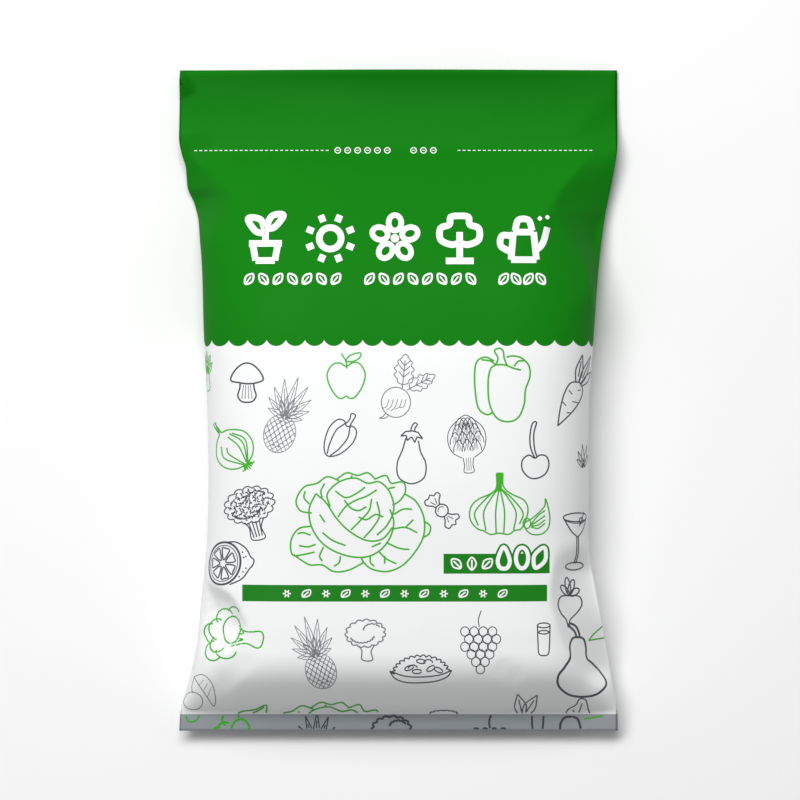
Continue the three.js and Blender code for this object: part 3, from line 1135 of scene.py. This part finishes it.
def leek_head(pen):
    for turn, reach in ((-40, 14), (-20, 17), (0, 18), (22, 16), (44, 12)):
        blade(pen, 0, 0, turn, reach, 2.6, rib=True)
    pen.curve((-3, 0), (-2.4, -6), (-5, -12), (0, -14), (4, -11), (2.8, -5), (3, 0))


# Every drawing: what it is, its ink, its place across and along the panel, and its turn, size and line.
garden = [
    (leek_head, green_ink, -157, 21, 0, 1, 0.9), (mushroom, grey_ink, -119, 13.8, 0, 1, 1.25),
    (pineapple, pale_ink, -93.2, -26.4, -17, 1, 0.6), (apple, green_ink, -41, 18.4, 0, 1, 1.2),
    (long_pepper, grey_ink, -46.6, -30, -33, 0.98, 1.05), (beet, pale_ink, -2, -1.8, 0, 1, 0.8),
    (bell_pepper, green_ink, 81, 11, 0, 1, 1.4), (carrot, grey_ink, 136, 0, -28, 1, 1.1),
    (aubergine, grey_ink, 10.2, -41.8, 0, 1, 1.1), (artichoke, grey_ink, 53.8, -34.2, 4, 1, 0.7),
    (cherry, grey_ink, 107.6, -39.2, 0, 1, 1.15), (onion, green_ink, -130, -38.4, 42, 1, 1.15),
    (garlic, green_ink, 79.2, -81.4, 0, 1, 1.2), (garlic_clove, green_ink, 108.6, -91.8, 0, 1, 1.1),
    (wrapped_sweet, grey_ink, 34, -86.6, -48, 1, 1.05), (lettuce, green_ink, -31.2, -95.8, 0, 1.02, 1.35),
    (dotted_floret, grey_ink, -115.4, -89, 16, 1.12, 0.95), (lemon, grey_ink, -133.4, -129.4, -6, 1.02, 1.1),
    (stem_glass, grey_ink, 142, -111, 0, 1.02, 1.05), (sprig, grey_ink, 150, -44, -6, 1, 0.8),
    (radish, grey_ink, 137, -161, 0, 1, 1.15), (big_floret, green_ink, -131, -184.4, 0, 1.02, 1.2),
    (pineapple, pale_ink, -61, -213.4, 18, 0.97, 0.6), (floret, pale_ink, -25.6, -188.4, 4, 0.86, 1.05),
    (salad_plate, grey_ink, 17.4, -210.4, 2, 1, 1.0), (grapes, grey_ink, 64.4, -190.2, 0, 1, 0.8),
    (tumbler, grey_ink, 114.2, -188.2, 0, 1, 1.0), (pear, grey_ink, 146, -207, 0, 1, 1.8),
    (cherry_with_leaf, pale_ink, -157.6, -232.4, 0, 1, 0.7),
    (lettuce, green_ink, -52.4, -278.6, 0, 1.02, 1.4),
]
for draw, colour_used, x, y, turn, size, width in garden:
    draw(Pen(colour_used, x, y, turn, size, width))

# The back repeats some of them further apart, as its own panel of the same print.
for draw, colour_used, x, y, turn, size, width in (
        (carrot, grey_ink, -128, 4, -20, 1.1, 1.1), (bell_pepper, green_ink, -74, -6, 8, 1, 1.3),
        (mushroom, grey_ink, -14, 8, -10, 1.2, 1.2), (beet, grey_ink, 44, -12, 0, 1.2, 1.0),
        (apple, green_ink, 104, 6, 10, 1.1, 1.2), (stem_glass, grey_ink, 150, -24, 8, 1, 1.0),
        (onion, green_ink, -136, -78, 20, 1.2, 1.2), (pear, grey_ink, -70, -84, 0, 0.9, 1.2),
        (lettuce, green_ink, 14, -88, 0, 1, 1.35), (artichoke, grey_ink, 98, -70, 0, 1.1, 0.8),
        (lemon, grey_ink, 140, -112, 0, 1.1, 1.1), (floret, green_ink, -124, -158, 0, 1.1, 1.2),
        (cherry, grey_ink, -64, -158, 0, 1, 1.2), (grapes, grey_ink, 44, -178, 0, 1.1, 1.0),
        (garlic, green_ink, 102, -184, -8, 1, 1.2), (long_pepper, grey_ink, -16, -176, 24, 1.1, 1.1),
        (radish, grey_ink, -104, -216, 0, 1.1, 1.2), (tumbler, grey_ink, 150, -214, 0, 1.1, 1.0),
        (salad_plate, grey_ink, -34, -222, 0, 1, 1.0), (aubergine, green_ink, -152, -214, -12, 1, 1.2)):
    draw(Pen(colour_used, x, y, turn, size, width, panel=back_panel))
on_field = 0.16  # how high white ink lies on the green field
for k in range(5):
    seedling = Pen(white_ink, -104 + 52 * k, 120, width=3.2, lift=on_field, panel=back_panel)
    seedling.line((0, -16), (0, 6))
    seedling.curve((0, -4), (-11, -1), (-13, 11), (-3, 9), (0, -4))
    seedling.curve((0, 2), (9, 4), (13, 15), (4, 14), (0, 2))

# Drawings that the foot's weld cuts off, and the next repeat's tops on the skirt.
foot = Pen(grey_ink, 99, -252, width=1.0)
blade(foot, 0, 0, -14, 20, 4.6, rib=True)
blade(foot, 1, 0, 28, 21, 4.6, rib=True)
foot = Pen(grey_ink, 142, -252, width=1.0)
foot.curve((-9, 0), (-7, 5.6), (-1, 9.6), (1.6, 14.6), (6.6, 14), (9, 6), (11.6, 0))
foot.line((4, 11), (1, 0))
foot.line((-3, 5), (0, 0))
foot = Pen(grey_ink, 36, -251, width=1.0)
frilled(foot, 0, 0, 11, 3.6, 8, 0, 180)
foot = Pen(green_ink, -118, -250, width=1.3)
foot.curve((-14, -2), (-6, 2), (4, 3.6), (13, 7.6), (12, -2))
foot.curve((-4, -2), (5, 2), (11.4, 6))
skirt_cut = (-263, -251.2)
for draw, colour_used, x, y, size, width in (
        (big_floret, green_ink, -124, -268, 1, 1.7), (floret, grey_ink, -5.6, -268, 0.86, 1.7),
        (pineapple, grey_ink, -66, -292, 0.95, 1.0), (grapes, grey_ink, 74, -274, 1, 1.6),
        (tumbler, grey_ink, 111, -251, 1, 1.6), (pear, grey_ink, 138, -270, 0.9, 1.9)):
    draw(Pen(colour_used, x, y, 0, size, width, cut=skirt_cut))
skirt_end = Pen(green_ink, -164, -251, width=1.2, cut=skirt_cut)
skirt_end.curve((-6, 2), (-4, -5), (2, -5), (7, 2))
skirt_end = Pen(green_ink, 155, -253, width=1.2, cut=skirt_cut)
skirt_end.line((-7, -1.5), (8, 1.2))
edge_mark = Pen(green_ink, 161, -186, width=1.2)
edge_mark.curve((6, 7), (0, 1), (-5, -5))
edge_mark.line((-5, -5), (8, -3.4))

# The heading is five bold signs, each on one place of the green field.
sign_line = 5.2
heading = [Pen(white_ink, x, 127.4, width=sign_line, lift=on_field)
           for x in (-104.9, -53.8, -2.8, 48.2, 98.6)]
pot = heading[0]
pot.line((-13, -4), (13, -4))
pot.line((-10, -4), (-7.6, -17.6), (7.6, -17.6), (10, -4))
pot.curve((0, -4), (0, 3), (0, 10))
pot.curve((0, 4), (-8, 6), (-14, 16), (-4, 15), (0, 4))
pot.curve((0, 8), (7, 9), (14, 18.6), (5, 18), (0, 8))
sun = heading[1]
sun.oval(0, 0, 8.6)
for k in range(8):
    a = math.radians(45 * k + 22.5)
    sun.line((14.2 * math.cos(a), 14.2 * math.sin(a)), (20 * math.cos(a), 20 * math.sin(a)))
flower = heading[2]
flower.blob(*[(3.4 * math.cos(a), 3.4 * math.sin(a)) for a in np.radians(np.arange(0, 360, 45))])
for k in range(5):
    a = math.radians(72 * k + 90)
    flower.oval(12.4 * math.cos(a), 12.4 * math.sin(a), 6.2, 5, tilt=72 * k + 90, width=4.4)
tree = heading[3]
tree.curve((0, 18), (-7, 17), (-8, 11), (-15, 8), (-15, -1), (-7, -5), (0, -4), (7, -5), (15, -1),
           (15, 8), (8, 11), (7, 17), closed=True)
tree.line((0, 5), (0, -18))
tree.line((-11, -18), (11, -18))
can = heading[4]
can.line((-8, 5), (-10, -17), (10, -17), (8, 5), (-8, 5))
can.curve((9, -10), (15, -4), (19, 9))
can.curve((-9, 2), (-17, 2), (-18, -6), (-10, -11))
can.curve((-6.6, 6), (-4, 14.6), (4, 14.6), (7, 6))
for x, y in ((13, 16), (19, 17)):
    can.blob((x - 2, y), (x, y + 2), (x + 2, y), (x, y - 2))

# Under it runs a row of small leaves in three groups.
for first, last, count in ((-123.2, -43.4, 7), (-28.4, 62.6, 8), (77.8, 116.8, 4)):
    pitch = (last - first) / count
    for k in range(count):
        small = Pen(white_ink, first + pitch * (k + 0.5), 95.2, (-38, 38)[k % 2], width=1.5, lift=on_field)
        small.curve((0, -5), (-3.2, 0), (0, 5), (3.2, 0), closed=True)
        small.line((0, -4), (0, 2.4), width=1.1)

# The tear line is dashed, with two groups of small rings in its middle.
tear = Pen(white_ink, 0, 199, width=0.65, lift=on_field)
dash_pitch, dash_length = 4.04, 2.3
for k in range(79):
    x = -163 + dash_pitch * k
    if not -54.6 < x < 47:
        tear.line((x, 0), (x + dash_length, 0))
for k in range(9):
    x = -49 + 7.9 * k + 13 * (k > 5)
    tear.oval(x + 0.6, 0, 2.3, 2.3, width=0.8)
    tear.line((x - 0.6, 0), (x + 1.8, 0))

# The small plate and the bar below it are green fields with white signs.
plates = Pen(field_ink, 0, 0, lift=0.12)
plates.field((35.4, -136.2), (118.8, -120.6))
plates.field((-122.8, -158.2), (116.8, -145.2))
on_plate = 0.24
for k in range(3):
    leaf = Pen(white_ink, 45.4 + 12.2 * k, -128.4, 45 - 45 * k, width=1.3, lift=on_plate)
    leaf.curve((0, -5), (-3.4, 0), (0, 5), (3.4, 0), closed=True)
    leaf.line((0, -5), (0, 3))
for width, colour_used, lift in ((6.2, field_ink, 0.2), (3.2, white_ink, 0.3)):
    drop_sign = Pen(colour_used, 82.6, -124, width=width, lift=lift)
    drop_sign.curve((0, 8.6), (-4.6, -1), (-3.4, -7), (0, -8.4), (3.4, -7), (4.6, -1), closed=True)
    ring_sign = Pen(colour_used, 97, -124, width=width, lift=lift)
    ring_sign.oval(0, 0, 4.8, 8.2)
    leaf_sign = Pen(colour_used, 111, -124, -24, width=width, lift=lift)
    leaf_sign.curve((0, -8.6), (-4.6, -1), (-2.6, 6), (0, 8.8), (2.6, 6), (4.6, -1), closed=True)
for k in range(12):
    x = -87.6 + 15.4 * k
    seed = Pen(white_ink, x, -152, width=1.1, lift=on_plate)
    if k % 2:
        seed.curve((-3, -2.6), (-2.4, 1.6), (3, 2.8), (2.4, -1.4), closed=True)
        seed.line((-3, -2.6), (1.6, 1.4))
    else:
        seed.oval(0, 0, 1.5)
        for turn in range(0, 360, 60):
            a = math.radians(turn)
            seed.line((2 * math.cos(a), 2 * math.sin(a)), (3.2 * math.cos(a), 3.2 * math.sin(a)))

for used in (grey_ink, pale_ink, green_ink, white_ink, field_ink):
    used.dry()

# ---- Floor and light -----------------------------------------------------------------------------
# The bag lies on a pale matt paper floor with a faint fibre. A wide soft light hangs beyond the
# header, a weak one stands at the bag's right, and a dim white surround fills the shadows.
bpy.ops.mesh.primitive_plane_add(size=8)
floor = bpy.context.object
floor.name = "floor"
floor_finish = bpy.data.materials.new("floor")
floor_finish.use_nodes = True
paper = floor_finish.node_tree.nodes["Principled BSDF"]
sheet = Wire(floor_finish.node_tree)
over_floor = sheet.node("ShaderNodeTexCoord", out=3)
soft = sheet.node("ShaderNodeTexNoise", sockets={"Vector": over_floor, "Scale": 1.4, "Detail": 2.0})
fibre = sheet.node("ShaderNodeTexNoise", sockets={"Vector": over_floor, "Scale": 700.0, "Detail": 3.0})
tone = (soft * 0.7 + fibre * 0.3).blend(ink(246, 246, 246), ink(250, 250, 250))
sheet.tree.links.new(tone.socket, paper.inputs["Base Color"])
sheet.tree.links.new((0.78 + fibre * 0.12).socket, paper.inputs["Roughness"])
grain = sheet.node("ShaderNodeBump", sockets={"Height": fibre, "Strength": 0.06, "Distance": 0.3 * mm})
sheet.tree.links.new(grain.socket, paper.inputs["Normal"])
paper.inputs["Specular IOR Level"].default_value = 0.1
floor.data.materials.append(floor_finish)


def soft_light(name, place, size, power):
    data = bpy.data.lights.new(name, "AREA")
    data.shape = "RECTANGLE"
    data.size, data.size_y = size
    data.energy = power
    light = bpy.data.objects.new(name, data)
    light.location = place
    light.rotation_euler = (-Vector(place)).to_track_quat("-Z", "Y").to_euler()
    light.visible_camera = False
    scene.collection.objects.link(light)


soft_light("key", (-0.7, 1.4, 3.0), (2.6, 1.2), 111)
soft_light("right", (2.4, 0.5, 1.9), (1.2, 1.6), 3.5)
world = bpy.data.worlds.new("studio")
world.use_nodes = True
world.node_tree.nodes["Background"].inputs["Color"].default_value = (1, 1, 1, 1)
world.node_tree.nodes["Background"].inputs["Strength"].default_value = 0.22
scene.world = world
